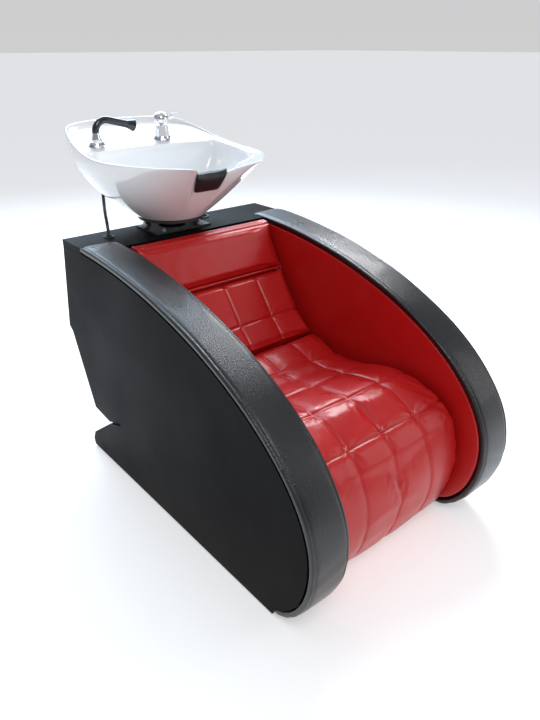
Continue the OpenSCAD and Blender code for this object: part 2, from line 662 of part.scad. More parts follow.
module handset_hose() color("#101010") at_shower() translate([0, 0, sleeve_z]) ring(5.6, 4.8, socket_z + 7 - sleeve_z);

module shower_hose() color("#101010") translate([bowl_x, bowl_y, 0])
    tube(smooth(concat(bundle, shower_loop), 2), hose_r, 8);

module hose_grommets() color("#202020") for (g = grommet) translate([g[0], g[1], 0]) {
    translate([0, 0, cabinet_z + 0.1]) ring(g[2] + 4, g[2] - 2, 3);
    translate([0, 0, cabinet_z - 18]) ring(g[2] - 0.1, g[2] - 2, 18.2);
}

// ---- assembly ------------------------------------------------------------

color(black) arm_panel(-half_w);  // right_outer_panel
color(black) on_side("left") arm_panel(-half_w);  // left_outer_panel
color(black) inner_panel();  // right_inner_panel
color(black) on_side("left") inner_panel();  // left_inner_panel
color(board) arm_battens();  // right_arm_battens
color(board) on_side("left") arm_battens();  // left_arm_battens
color(black) arm_band();  // right_arm_band
color(black) on_side("left") arm_band();  // left_arm_band
color(red) lining();  // right_lining
color(red) on_side("left") lining();  // left_lining
seat_board();
front_board();
seat_cushion();
front_pad();
back_board();
back_cushion();
head_pad();
cross_rails();
arm_bolts();
floor_glides();
floor_strap(strap_front_y);  // front_floor_strap
floor_strap(strap_rear_y);  // rear_floor_strap
kick_board();
plumbing_board();
cabinet_top();
cabinet_side();  // right_cabinet_side
on_side("left") cabinet_side();  // left_cabinet_side
rear_panel();
cabinet_floor();
service_hatch();
hatch_knob();
hatch_leaves();
frame_leaves();
hinge_pins();
tilt_base();
tilt_bolts();
tilt_pins();
friction_washers();
tilt_saddle();
foot_gasket();
ceramic_bowl();
neck_rest();
waste_flange();
waste_nut();
strainer();
waste_hose();
waste_outlet();
mixer_body();
mixer_nut();
mixer_spindle();
mixer_lever();
supply_hoses();
inlet_tails();
shower_socket();
handset_collar();
handset_handle();
handset_face();
handset_hose();
shower_hose();
hose_grommets();
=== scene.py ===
import math
import bmesh
import bpy
import numpy as np
from mathutils import Matrix, Vector


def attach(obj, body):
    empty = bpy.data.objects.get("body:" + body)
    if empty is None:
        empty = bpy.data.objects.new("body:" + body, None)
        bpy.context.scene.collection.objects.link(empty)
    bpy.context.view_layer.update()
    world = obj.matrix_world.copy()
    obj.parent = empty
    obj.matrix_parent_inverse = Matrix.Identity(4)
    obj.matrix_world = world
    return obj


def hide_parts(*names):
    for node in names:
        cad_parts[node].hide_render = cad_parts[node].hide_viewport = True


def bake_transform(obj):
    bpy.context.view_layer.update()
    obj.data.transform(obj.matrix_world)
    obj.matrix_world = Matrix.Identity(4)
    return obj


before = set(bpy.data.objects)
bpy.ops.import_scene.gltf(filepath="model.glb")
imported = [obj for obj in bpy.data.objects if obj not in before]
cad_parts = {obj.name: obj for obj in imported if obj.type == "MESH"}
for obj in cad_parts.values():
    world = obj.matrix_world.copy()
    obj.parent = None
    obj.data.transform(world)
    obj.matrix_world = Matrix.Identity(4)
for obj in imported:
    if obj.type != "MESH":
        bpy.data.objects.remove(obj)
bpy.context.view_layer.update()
scene = bpy.context.scene

# ---- camera ---------------------------------------------------------------
# Stands in front of the unit on the sitter's right, above the arms, and looks
# down into the seat. The frame is upright, so the lens goes with its height.
camera_data = bpy.data.cameras.new("camera")
camera_data.lens = 31.1
camera_data.sensor_width = 36
camera = bpy.data.objects.new("camera", camera_data)
scene.collection.objects.link(camera)
camera.location = (-0.998, -1.266, 1.164)
camera.rotation_mode = "QUATERNION"
camera.rotation_quaternion = Vector((0.5739, 0.6816, -0.4540)).to_track_quat("-Z", "Y")
scene.camera = camera

# ---- floor, light ---------------------------------------------------------
# A pale studio floor, a surround that is white at the level of the floor and grey
# above it, and four wide soft lamps. None of it is part of the unit.
floor_mesh = bpy.data.meshes.new("studio_floor")
floor_half, floor_z = 90, -0.001
corners = ((-1, -1), (1, -1), (1, 1), (-1, 1))
floor_mesh.from_pydata([(x * floor_half, y * floor_half, floor_z) for x, y in corners], [], [(0, 1, 2, 3)])
floor = bpy.data.objects.new("studio_floor", floor_mesh)
scene.collection.objects.link(floor)
floor_paint = bpy.data.materials.new("studio_floor")
floor_paint.use_nodes = True
floor_shader = floor_paint.node_tree.nodes["Principled BSDF"]
floor_shader.inputs["Base Color"].default_value = (0.8, 0.8, 0.81, 1)
floor_shader.inputs["Roughness"].default_value = 0.7
floor_shader.inputs["Emission Color"].default_value = (1, 1, 1, 1)
floor_shader.inputs["Emission Strength"].default_value = 0.42
floor_mesh.materials.append(floor_paint)

world = bpy.data.worlds.new("studio")
world.use_nodes = True
sky = world.node_tree.nodes["Background"]
sky.inputs[1].default_value = 0.62
around = world.node_tree.nodes.new("ShaderNodeTexCoord")
height = world.node_tree.nodes.new("ShaderNodeSeparateXYZ")
tones = world.node_tree.nodes.new("ShaderNodeValToRGB")
world.node_tree.links.new(around.outputs["Generated"], height.inputs[0])
world.node_tree.links.new(height.outputs["Z"], tones.inputs[0])
world.node_tree.links.new(tones.outputs[0], sky.inputs[0])
tones.color_ramp.elements[0].position, tones.color_ramp.elements[0].color = 0.0, (1, 1, 1, 1)
tones.color_ramp.elements[1].position, tones.color_ramp.elements[1].color = 1.0, (0.86, 0.93, 1, 1)
for place, level in ((0.13, 0.97), (0.24, 0.4), (0.5, 0.48)):
    tones.color_ramp.elements.new(place).color = (level, level, level * 1.05, 1)
scene.world = world
scene.view_settings.view_transform = "Standard"

for lamp_name, place, aim, size, watts, tone in (
        ("sky_lamp", (0.7, 2.3, 2.6), (0, 0, 0.6), 2.2, 110, (0.66, 0.83, 1.0)),
        ("seat_lamp", (1.9, 0.9, 2.4), (0, -0.3, 0.4), 0.9, 42, (0.95, 0.97, 1.0)),
        ("window_lamp", (-1.2, -1.9, 2.9), (0, -0.3, 0.4), 1.2, 30, (1.0, 0.98, 0.96)),
        ("fill_lamp", (2.4, -2.2, 1.7), (0, -0.2, 0.4), 1.6, 14, (1.0, 1.0, 1.0))):
    lamp_data = bpy.data.lights.new(lamp_name, "AREA")
    lamp_data.energy = watts
    lamp_data.size = size
    lamp_data.color = tone
    lamp = bpy.data.objects.new(lamp_name, lamp_data)
    scene.collection.objects.link(lamp)
    lamp.location = place
    lamp.rotation_mode = "QUATERNION"
    lamp.rotation_quaternion = (Vector(aim) - Vector(place)).to_track_quat("-Z", "Y")


# ---- finishes of the plain parts ------------------------------------------
# Boards, steel, rubber and plastic parts keep their shape and get a surface
# with uneven tone, uneven gloss and a relief of their own.
def effect(name, inputs, outputs):
    """A shader group for many materials with its sockets, and its two end nodes."""
    group = bpy.data.node_groups.new(name, "ShaderNodeTree")
    for socket, kind in inputs:
        group.interface.new_socket(socket, in_out="INPUT", socket_type="NodeSocket" + kind)
    for socket, kind in outputs:
        group.interface.new_socket(socket, in_out="OUTPUT", socket_type="NodeSocket" + kind)
    return group, group.nodes.new("NodeGroupInput"), group.nodes.new("NodeGroupOutput")


# Broad patches: a colour between two tones, and a gloss that follows it
uneven_tone, given, made = effect(
    "uneven_tone",
    (("Place", "Vector"), ("Patches", "Float"), ("Dark", "Color"), ("Light", "Color"),
     ("Smoothest", "Float"), ("Roughest", "Float")),
    (("Colour", "Color"), ("Roughness", "Float")))
patches = uneven_tone.nodes.new("ShaderNodeTexNoise")
patches.inputs["Detail"].default_value = 5
tone_mix = uneven_tone.nodes.new("ShaderNodeMix")
tone_mix.data_type = "RGBA"
gloss = uneven_tone.nodes.new("ShaderNodeMapRange")
gloss.inputs["From Min"].default_value, gloss.inputs["From Max"].default_value = 0.3, 0.7
for start, end in ((given.outputs["Place"], patches.inputs["Vector"]),
                   (given.outputs["Patches"], patches.inputs["Scale"]),
                   (patches.outputs["Fac"], tone_mix.inputs[0]), (given.outputs["Dark"], tone_mix.inputs[6]),
                   (given.outputs["Light"], tone_mix.inputs[7]), (tone_mix.outputs[2], made.inputs["Colour"]),
                   (patches.outputs["Fac"], gloss.inputs["Value"]),
                   (given.outputs["Smoothest"], gloss.inputs["To Min"]),
                   (given.outputs["Roughest"], gloss.inputs["To Max"]),
                   (gloss.outputs["Result"], made.inputs["Roughness"])):
    uneven_tone.links.new(start, end)

# Relief: a fine even grain, or the small cells of leatherette and powder coat
reliefs = {}
for cells, name, texture, output in ((False, "fine_grain", "ShaderNodeTexNoise", "Fac"),
                                     (True, "pebbled_grain", "ShaderNodeTexVoronoi", "Distance")):
    reliefs[cells], given, made = effect(
        name, (("Place", "Vector"), ("Grain", "Float"), ("Relief", "Float")), (("Normal", "Vector"),))
    grains = reliefs[cells].nodes.new(texture)
    bump = reliefs[cells].nodes.new("ShaderNodeBump")
    bump.inputs["Strength"].default_value = 0.6
    for start, end in ((given.outputs["Place"], grains.inputs["Vector"]),
                       (given.outputs["Grain"], grains.inputs["Scale"]),
                       (given.outputs["Relief"], bump.inputs["Distance"]),
                       (grains.outputs[output], bump.inputs["Height"]),
                       (bump.outputs["Normal"], made.inputs["Normal"])):
        reliefs[cells].links.new(start, end)


def finish(name, colour, rough, metal=0.0, coat=0.0, tone=0.15, patches=9.0, stretch=(1, 1, 1),
           grain=400.0, relief=0.0002, cells=False, gloss_swing=0.06, shine=0.5):
    """A material: tone and gloss_swing say how uneven it is, patches and grain how many to a metre."""
    paint = bpy.data.materials.new(name)
    paint.use_nodes = True
    nodes, links = paint.node_tree.nodes, paint.node_tree.links
    shader = nodes["Principled BSDF"]
    place = nodes.new("ShaderNodeTexCoord")
    turn = nodes.new("ShaderNodeMapping")
    turn.inputs["Scale"].default_value = stretch
    links.new(place.outputs["Object"], turn.inputs["Vector"])
    uneven = nodes.new("ShaderNodeGroup")
    uneven.node_tree = uneven_tone
    uneven.inputs["Patches"].default_value = patches
    uneven.inputs["Dark"].default_value = (*[c * (1 - tone) for c in colour], 1)
    uneven.inputs["Light"].default_value = (*[min(1, c * (1 + tone)) for c in colour], 1)
    uneven.inputs["Smoothest"].default_value = max(0.01, rough - gloss_swing)
    uneven.inputs["Roughest"].default_value = rough + gloss_swing
    links.new(turn.outputs["Vector"], uneven.inputs["Place"])
    links.new(uneven.outputs["Colour"], shader.inputs["Base Color"])
    links.new(uneven.outputs["Roughness"], shader.inputs["Roughness"])
    raised = nodes.new("ShaderNodeGroup")
    raised.node_tree = reliefs[cells]
    raised.inputs["Grain"].default_value = grain
    raised.inputs["Relief"].default_value = relief
    links.new(turn.outputs["Vector"], raised.inputs["Place"])
    links.new(raised.outputs["Normal"], shader.inputs["Normal"])
    shader.inputs["Metallic"].default_value = metal
    shader.inputs["Specular IOR Level"].default_value = shine
    shader.inputs["Coat Weight"].default_value = coat
    shader.inputs["Coat Roughness"].default_value = 0.12
    return paint


black_hide = finish("black_leatherette", (0.0035, 0.0035, 0.004), 0.48, tone=0.35, patches=5,
                    grain=650, relief=0.0004, cells=True, shine=0.05)
band_hide = finish("ribbed_black_leatherette", (0.003, 0.0035, 0.005), 0.3, coat=0.15, tone=0.3, patches=5,
                   stretch=(1, 0.55, 0.55), grain=520, relief=0.001, cells=True, shine=0.55, gloss_swing=0.05)
red_hide = finish("red_leatherette", (0.47, 0.008, 0.008), 0.33, coat=0.14, tone=0.12, patches=6,
                  grain=700, relief=0.0003, cells=True, gloss_swing=0.06, shine=0.4)
plain_parts = {
    finish("bare_board", (0.46, 0.31, 0.18), 0.62, tone=0.28, patches=14, stretch=(1, 6, 1), relief=0.0004): (
        "right_arm_battens left_arm_battens seat_board front_board back_board cross_rails plumbing_board "
        "cabinet_floor"),
    black_hide: ("right_inner_panel left_inner_panel right_outer_panel left_outer_panel kick_board "
                 "cabinet_top right_cabinet_side left_cabinet_side rear_panel service_hatch"),
    finish("zinc_steel", (0.58, 0.58, 0.6), 0.34, metal=1.0, tone=0.1, patches=30, relief=0.0001): (
        "arm_bolts hatch_leaves frame_leaves hinge_pins tilt_bolts tilt_pins"),
    finish("black_steel", (0.02, 0.02, 0.022), 0.45, tone=0.2, grain=900, relief=0.0002, cells=True): (
        "front_floor_strap rear_floor_strap tilt_base tilt_saddle"),
    finish("black_rubber", (0.014, 0.014, 0.015), 0.6, tone=0.25, grain=500, relief=0.0002): (
        "floor_glides friction_washers foot_gasket hose_grommets"),
    finish("chrome", (0.86, 0.87, 0.89), 0.06, metal=1.0, tone=0.02, relief=0.00002, gloss_swing=0.02): (
        "hatch_knob waste_flange strainer mixer_body shower_socket handset_collar mixer_spindle mixer_lever"),
    finish("white_plastic", (0.8, 0.81, 0.82), 0.34, tone=0.04, relief=0.00005): "waste_nut waste_outlet",
    finish("brass", (0.68, 0.48, 0.22), 0.3, metal=1.0, tone=0.12, relief=0.0001): "mixer_nut inlet_tails",
    finish("black_plastic", (0.008, 0.008, 0.012), 0.09, coat=0.6, tone=0.1, relief=0.00002,
           gloss_swing=0.02): "handset_handle",
    finish("grey_plastic", (0.34, 0.35, 0.37), 0.4, tone=0.08, relief=0.0001): "handset_face",
    finish("hose_black", (0.01, 0.01, 0.012), 0.28, tone=0.2, relief=0.0001): "handset_hose",
}
for paint, names in plain_parts.items():
    for name in names.split():
        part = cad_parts[name]
        part.data.materials.clear()
        part.data.materials.append(paint)

# ---- hoses ----------------------------------------------------------------
# One black shower hose, two braided supplies and a ribbed waste hose, each
# round and closed, from the bowl through the cabinet's top.
bowl_x, bowl_y = -0.03, 0.34


def curve_through(points, steps):
    """A smooth line through the points, with a number of steps between two of them."""
    p = np.array(points, float)
    out = []
    for i in range(len(p) - 1):
        a, b, c, d = p[max(0, i - 1)], p[i], p[i + 1], p[min(len(p) - 1, i + 2)]
        for s in range(steps):
            t = s / steps
            out.append(b + 0.5 * t * (c - a + t * (2 * a - 5 * b + 4 * c - d + t * (3 * (b - c) + d - a))))
    return np.array(out + [p[-1]])


def loft(name, rings, paint, body=None, around=True):
    """A closed mesh through closed rings of points; around joins the last ring to the first."""
    mesh = bpy.data.meshes.new(name)
    build = bmesh.new()
    loops = []
    for ring in rings:
        verts = [build.verts.new(point) for point in ring]
        loops.append([build.edges.new(pair) for pair in zip(verts, verts[1:] + verts[:1])])
    for loop, following in zip(loops, loops[1:] + loops[:1] if around else loops[1:]):
        bmesh.ops.bridge_loops(build, edges=loop + following)
    if not around:
        ends = [bmesh.ops.contextual_create(build, geom=loop)["faces"][0] for loop in (loops[0], loops[-1])]
        bmesh.ops.poke(build, faces=ends)
    bmesh.ops.recalc_face_normals(build, faces=build.faces)
    build.to_mesh(mesh)
    build.free()
    mesh.polygons.foreach_set("use_smooth", [True] * len(mesh.polygons))
    mesh.set_sharp_from_angle(angle=math.radians(50))
    mesh.materials.append(paint)
    piece = bpy.data.objects.new(name, mesh)
    scene.collection.objects.link(piece)
    if body:
        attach(piece, body)
    return piece


def pipe_rings(line, radius, sides, ribs=0.0):
    """Rings square to a line of points; every other one is smaller by ribs."""
    rings = []
    side = np.array([0.0, 1.0, 0.0])
    for i, p in enumerate(line):
        along = line[min(len(line) - 1, i + 1)] - line[max(0, i - 1)]
        along /= np.linalg.norm(along)
        side = side - along * side.dot(along)
        side /= np.linalg.norm(side)
        up = np.cross(along, side)
        r = radius - (ribs if i % 2 else 0)
        rings.append([p + r * (side * math.cos(a) + up * math.sin(a))
                      for a in np.linspace(0, 2 * math.pi, sides, endpoint=False)])
    return rings


# Ways in millimetres from the bowl's axis: the bundle under the mixer, then each hose
bundle = [(60, 120, 865.8), (60, 120, 840), (64, 120, 805), (74, 113, 772), (84, 100, 748), (90, 92, 728),
          (99, 77, 706), (112, 56, 688), (121, 43, 670), (124, 38, 650), (124, 34, 600)]
supply_drop = [(124, 20, 540), (120, -20, 430), (112, -80, 320), (106, -130, 220), (106, -148, 150),
               (106, -150, 120), (106, -150, 99.6)]
shower_loop = [(120, 34, 540), (106, 36, 460), (80, 32, 380), (36, 24, 310), (-24, 18, 270), (-90, 16, 262),
               (-150, 14, 290), (-188, 10, 360), (-202, 8, 450), (-205, 7, 560), (-205, 7, 645),
               (-204, 9, 680),
               (-199, 22, 708), (-186, 54, 732), (-168, 92, 750), (-160, 108, 774), (-160, 108, 800),
               (-160, 108, 850), (-160, 108, 900)]
waste_way = [(0, 0, 661.5), (0, 0, 600), (0, -5, 520), (0, -27, 430), (0, -65, 340), (0, -110, 250),
             (0, -138, 180), (0, -150, 130), (0, -150, 115), (0, -150, 100.5)]


def in_frame(points, dx=0.0, dy=0.0):
    """Points of a way in metres in the shared frame, moved aside by dx and dy millimetres."""
    return [(bowl_x + (x + dx) / 1000, bowl_y + (y + dy) / 1000, z / 1000) for x, y, z in points]


hose_black = finish("shower_hose_black", (0.01, 0.01, 0.012), 0.3, coat=0.2, tone=0.2, relief=0.0001)
shower_line = curve_through(in_frame(bundle + shower_loop), 8)
shower_hose = loft("shower_hose_skin", pipe_rings(shower_line, 0.0045, 14), hose_black,
                   around=False)
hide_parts("shower_hose")
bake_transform(shower_hose)

braid = finish("steel_braid", (0.6, 0.62, 0.64), 0.36, metal=0.85, tone=0.3, patches=420, grain=900,
               relief=0.0004, cells=True)
for side_name, dx, dy in (("cold", -9.4, -5.6), ("hot", 9.4, 5.6)):
    supply_line = curve_through(in_frame(bundle, dx, dy) + in_frame(supply_drop, 2 * dx, 2 * dy), 6)
    supply = loft(side_name + "_supply", pipe_rings(supply_line, 0.006, 14), braid, around=False)
    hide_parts("supply_hoses")
    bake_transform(supply)

hose_white = finish("waste_hose_white", (0.78, 0.79, 0.8), 0.38, tone=0.05, relief=0.00005)
waste_line = curve_through(in_frame(waste_way), 18)
waste_hose = loft("waste_hose_skin", pipe_rings(waste_line, 0.02, 24, ribs=0.0014), hose_white,
                  around=False)
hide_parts("waste_hose")
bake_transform(waste_hose)

# ---- arm bands ------------------------------------------------------------
# Black leatherette over thin foam, on the edge of each arm from the toe over
# the top to the rear end, with a soft crown, a seam beside each edge.
half_w, arm_w, band_t = 0.350, 0.106, 0.020
arc_y, arc_z, arc_len, arc_rise = 0.330, 0.220, 0.962, 0.463
toe_len, glide_h = 0.150, 0.005
band_sides, side_power, face_power = 64, 0.22, 0.5
crown_h, seam_in, seam_half, seam_depth = 0.0016, 0.009, 0.0022, 0.0018
lower_y = arc_y - arc_len + toe_len
toe_end, top_end = math.radians(78), math.acos((arc_y - 0.290) / arc_len)


def band_point(t, inset):
    """Point of the band's outline: t from -1 near the floor to 0 at the front to 1 at the rear end."""
    if t < 0:
        a = -t * toe_end
        return (lower_y - (toe_len - inset) * math.cos(a), arc_z - (arc_z - glide_h - inset) * math.sin(a))
    a = t * top_end
    return (arc_y - (arc_len - inset) * math.cos(a), arc_z + (arc_rise - inset) * math.sin(a))


band_steps = np.concatenate([np.linspace(-1, 0, 40, endpoint=False), np.linspace(0, 1, 180)])
for side_name, sign in (("right", -1), ("left", 1)):
    rings = []
    for k, t in enumerate(band_steps):
        end = min(1.0, min(k, len(band_steps) - 1 - k) / 3.0)
        ring = []
        for j in range(band_sides):
            a = 2 * math.pi * j / band_sides + math.pi / band_sides
            ca, sa = math.cos(a), math.sin(a)
            u = math.copysign(abs(ca) ** side_power, ca)
            v = math.copysign(abs(sa) ** face_power, sa)
            across = half_w - arm_w / 2 + u * (arm_w / 2 - 0.0008 * (1 - end))
            edge_gap = (1 - abs(u)) * arm_w / 2
            seam = seam_depth * math.exp(-((edge_gap - seam_in) / seam_half) ** 2)
            crown = 0.0 if v < 0 else crown_h * (1 - u * u) - seam
            slack = 0.0 if v < 0 else 0.0005 * math.sin(31 * t + 2.2 * u + 1.3 * math.sin(9 * t))
            depth = band_t / 2 - v * (band_t / 2 - 0.0016 - 0.003 * (1 - end)) - crown - slack
            y, z = band_point(t, depth)
            ring.append((sign * across, y, z))
        rings.append(ring)
    band = loft(side_name + "_band_skin", rings, band_hide, "chair", around=False)
    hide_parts(side_name + "_arm_band")

# ---- upholstery -----------------------------------------------------------
# Foam under red leatherette: a seat that rolls over the front edge and drops to
# the floor, a back and a head pad. Sewn channels cross in pulled-in tufts.
channel_half, side_fade = 0.0035, 0.016
tuft_reach, folds, folds_from, folds_reach = 0.02, 8, 0.026, 0.022
puff_frames = 20
seat_half, head_half = 0.232, 0.234


def cushion(name, outline, half, voxel):
    """A closed form with rounded edges from an outline in Y-Z, in millimetres, and its half width."""
    mesh = bpy.data.meshes.new(name)
    piece = bpy.data.objects.new(name, mesh)
    scene.collection.objects.link(piece)
    build = bmesh.new()
    ring = [build.verts.new((-half, y / 1000, z / 1000)) for y, z in outline]
    face = build.faces.new(ring)
    moved = bmesh.ops.extrude_face_region(build, geom=[face])
    bmesh.ops.translate(build, vec=(2 * half, 0, 0),
                        verts=[v for v in moved["geom"] if isinstance(v, bmesh.types.BMVert)])
    bmesh.ops.recalc_face_normals(build, faces=build.faces)
    build.to_mesh(mesh)
    build.free()
    shape = piece.modifiers.new("even", "REMESH")
    shape.mode = "VOXEL"
    shape.voxel_size = voxel
    soft = piece.modifiers.new("soft", "SMOOTH")
    soft.iterations = 3
    soft.factor = 0.5
    piece.data = bpy.data.meshes.new_from_object(piece.evaluated_get(bpy.context.evaluated_depsgraph_get()))
    piece.modifiers.clear()
    return piece


def plump(piece, force, travel, pinned):
    """Blows the form up as cloth, by travel at most, with the points that rest on a board held still."""
    start = np.array([v.co for v in piece.data.vertices])
    held = piece.vertex_groups.new(name="held")
    held.add([int(i) for i in np.nonzero(pinned(start))[0]], 1.0, "REPLACE")
    cloth = piece.modifiers.new("cloth", "CLOTH")
    cloth.settings.vertex_group_mass = "held"
    cloth.settings.use_pressure = True
    cloth.settings.uniform_pressure_force = force
    cloth.settings.quality = 4
    cloth.settings.effector_weights.gravity = 0
    cloth.settings.tension_stiffness = cloth.settings.compression_stiffness = 25
    cloth.point_cache.frame_start, cloth.point_cache.frame_end = 1, puff_frames
    for k in range(1, puff_frames + 1):
        scene.frame_set(k)
    blown = piece.evaluated_get(bpy.context.evaluated_depsgraph_get())
    puffed = np.array([v.co for v in blown.data.vertices])
    scene.frame_set(1)
    piece.modifiers.clear()
    piece.vertex_groups.clear()
    step = puffed - start
    far = np.linalg.norm(step, axis=1, keepdims=True)
    step *= np.minimum(1, travel / np.maximum(far, 1e-9))
    piece.data.vertices.foreach_set("co", (start + step).ravel())


def finer(piece):
    """One subdivision, smooth faces."""
    split = piece.modifiers.new("finer", "SUBSURF")
    split.levels = split.render_levels = 1
    piece.data = bpy.data.meshes.new_from_object(piece.evaluated_get(bpy.context.evaluated_depsgraph_get()))
    piece.modifiers.clear()
    piece.data.polygons.foreach_set("use_smooth", [True] * len(piece.data.polygons))


def quilt(piece, line, columns, rows, depth, reach, tufts=(), tuft_depth=0.0, creases=0.0):
    """Sinks sewn channels and tufts: columns lie across, rows along line, a tuft at (across, along)."""
    co = np.array([v.co for v in piece.data.vertices])
    no = np.array([v.normal for v in piece.data.vertices])
    way = curve_through([(0, y / 1000, z / 1000) for y, z in line], 6)
    length = np.concatenate([[0], np.cumsum(np.linalg.norm(np.diff(way, axis=0), axis=1))])
    flat = co.copy()
    flat[:, 0] = 0
    best = np.full(len(co), 1e9)
    along = np.zeros(len(co))
    for i in range(len(way) - 1):
        step = way[i + 1] - way[i]
        t = np.clip(((flat - way[i]) @ step) / step.dot(step), 0, 1)
        gap = np.linalg.norm(flat - way[i] - t[:, None] * step, axis=1)
        near = gap < best
        best[near] = gap[near]
        along[near] = (length[i] + t * (length[i + 1] - length[i]))[near]
    top = np.clip(1.6 - best / side_fade, 0, 1)
    x = co[:, 0]
    sink = np.zeros(len(co))
    for gap in [np.abs(x - place) for place in columns] + [np.abs(along - place) for place in rows]:
        sewn, dished = np.exp(-(gap / channel_half) ** 2), np.exp(-(gap / reach) ** 2)
        sink = np.maximum(sink, depth * (0.65 * sewn + 0.35 * dished))
    for place, far in tufts:
        dx, ds = x - place, along - far
        gap = np.hypot(dx, ds)
        turn = np.arctan2(ds, dx)
        sink = sink + tuft_depth * np.exp(-(gap / tuft_reach) ** 2)
        around_it = np.exp(-((gap - folds_from) / folds_reach) ** 2)
        sink = sink + creases * around_it * np.cos(folds * turn + 3 * place * 10) ** 3
    ripple = 0.0003 * np.sin(46 * x + 5 * np.sin(21 * along)) * np.sin(38 * along + 3 * np.sin(23 * x))
    co -= no * ((sink + ripple) * top)[:, None]
    piece.data.vertices.foreach_set("co", co.ravel())
    piece.data.update()


def on_seat_boards(points):
    """Where the seat rests: on the seat board, on the front board and against the back."""
    y, z = points[:, 1], points[:, 2]
    return (z < 0.3) & (y > -0.49) | (y > -0.5) & (z < 0.29) | (y > -0.012)


def on_back_board(points):
    """Where the back and the head pad rest: on the sloping back board."""
    return points[:, 1] * 0.86 - (points[:, 2] - 0.327) * 0.505 > 0.025


# Outlines in Y-Z, in millimetres; the line runs over the face that is sewn
seat_line = [(30, 330), (-13, 366), (-57, 366), (-121, 347), (-181, 345), (-285, 368), (-368, 383),
             (-424, 378), (-480, 362), (-512, 344), (-544, 309), (-563, 246), (-568, 193), (-555, 121),
             (-529, 44), (-512, 12)]
seat_form = [(37, 293), (37, 324)] + seat_line[1:-1] + [(-510, 14), (-495, 14), (-495, 293)]
seat = cushion("seat_upholstery", seat_form, seat_half, 0.0065)
plump(seat, 4.0, 0.008, on_seat_boards)
finer(seat)
seat_columns = (-0.118, 0.0, 0.118)
seat_rows = (0.17, 0.30, 0.43, 0.555)
quilt(seat, seat_line, seat_columns, seat_rows, 0.0055, 0.018,
      [(x, s) for x in seat_columns for s in seat_rows], 0.003, 0.0006)
seat.data.materials.append(red_hide)
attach(seat, "chair")
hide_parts("seat_cushion", "front_pad")

# ---- stitches -------------------------------------------------------------
# Thick red thread, crossed over the channels where the seat rolls over its
# front edge. Each bar lies on the leatherette, across the other.
seam_spot_y, seam_spot_z = -0.4945, 0.357
stitch_r, stitch_lift, stitch_turn = 0.001, 0.0045, 0.78
bar_shape = Matrix.Diagonal((9, 1.1, 1.1, 1))
thread = finish("red_thread", (0.72, 0.16, 0.15), 0.5, tone=0.15, relief=0.0001)
stitch = bmesh.new()
surface = np.array([v.co for v in seat.data.vertices])
outward = np.array([v.normal for v in seat.data.vertices])
for x in seat_columns:
    spot = np.array([x, seam_spot_y, seam_spot_z])
    near = int(np.argmin(np.linalg.norm(surface - spot, axis=1)))
    centre, lift = Vector(surface[near]), Vector(outward[near])
    across = Vector((1, 0, 0))
    along = lift.cross(across).normalized()
    for turn in (-stitch_turn, stitch_turn):
        way = (across * math.cos(turn) + along * math.sin(turn)).normalized()
        spin = Matrix((way, lift.cross(way).normalized(), lift)).transposed().to_4x4()
        bmesh.ops.create_icosphere(stitch, subdivisions=3, radius=stitch_r,
                                   matrix=Matrix.Translation(centre + lift * stitch_lift) @ spin @ bar_shape)
stitch_mesh = bpy.data.meshes.new("seat_stitches")
stitch.to_mesh(stitch_mesh)
stitch.free()
stitch_mesh.polygons.foreach_set("use_smooth", [True] * len(stitch_mesh.polygons))
stitch_mesh.materials.append(thread)
stitches = bpy.data.objects.new("seat_stitches", stitch_mesh)
scene.collection.objects.link(stitches)
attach(stitches, "chair")

# ---- back and head pad ----------------------------------------------------
# The same foam and red leatherette on the sloping board: the back has one sewn
# channel across and three down, the head pad folds over the board's top edge.
back_line = [(-8, 371), (44, 421), (71, 455), (134, 536)]
back_form = [(-8, 370)] + back_line[1:] + [(138.5, 540.5), (160, 527), (44, 328)]
back = cushion("back_upholstery", back_form, seat_half, 0.005)
plump(back, 4.0, 0.006, on_back_board)
finer(back)
quilt(back, back_line, seat_columns, (0.085,), 0.005, 0.016,
      [(x, 0.085) for x in seat_columns], 0.002, 0.0004)
back.data.materials.append(red_hide)
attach(back, "chair")
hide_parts("back_cushion")

head_form = [(140, 543), (178, 621), (196, 668), (203, 675), (229, 675), (235, 669), (235, 655), (163, 529.5)]
head = cushion("head_upholstery", head_form, head_half, 0.005)
plump(head, 4.0, 0.006, on_back_board)
finer(head)
quilt(head, [(140, 543), (178, 621), (196, 668), (206, 676), (229, 676)], (), (0.137,), 0.002, 0.004)
head.data.materials.append(red_hide)
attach(head, "chair")
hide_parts("head_pad")

# ---- back welt ------------------------------------------------------------
# A thin roll of red leatherette, sewn into the joint between the back and the
# head pad from arm to arm.
welt_line = [(x, 0.1405, 0.5425) for x in np.linspace(-0.233, 0.233, 60)]
loft("back_welt", pipe_rings(np.array(welt_line), 0.0036, 12), red_hide, "chair",
     around=False)

# ---- arm linings ----------------------------------------------------------
# Thin foam under red leatherette on the inner face of each arm, with a rolled
# edge, flat against the inner panel and cut to the line of the band above it.
lining_inset, lining_x, lining_half = 0.0212, 0.2511, 0.0046
lining_form = [band_point(t, lining_inset) for t in np.linspace(-66 / 78, 0, 16, endpoint=False)]
lining_form += [band_point(t, lining_inset) for t in np.linspace(0, 0.962, 60)]
lining_form = [(y * 1000, z * 1000) for y, z in lining_form]
lining_form += [(231, 645), (46, 326), (42, 14), (lower_y * 1000 + 3, 14)]
for side_name, sign in (("right", -1), ("left", 1)):
    lining = cushion(side_name + "_lining_skin", lining_form, lining_half, 0.0035)
    lining.data.transform(Matrix.Translation((sign * lining_x, 0, 0)))
    lining.data.polygons.foreach_set("use_smooth", [True] * len(lining.data.polygons))
    lining.data.materials.append(red_hide)
    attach(lining, "chair")
    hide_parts(side_name + "_lining")

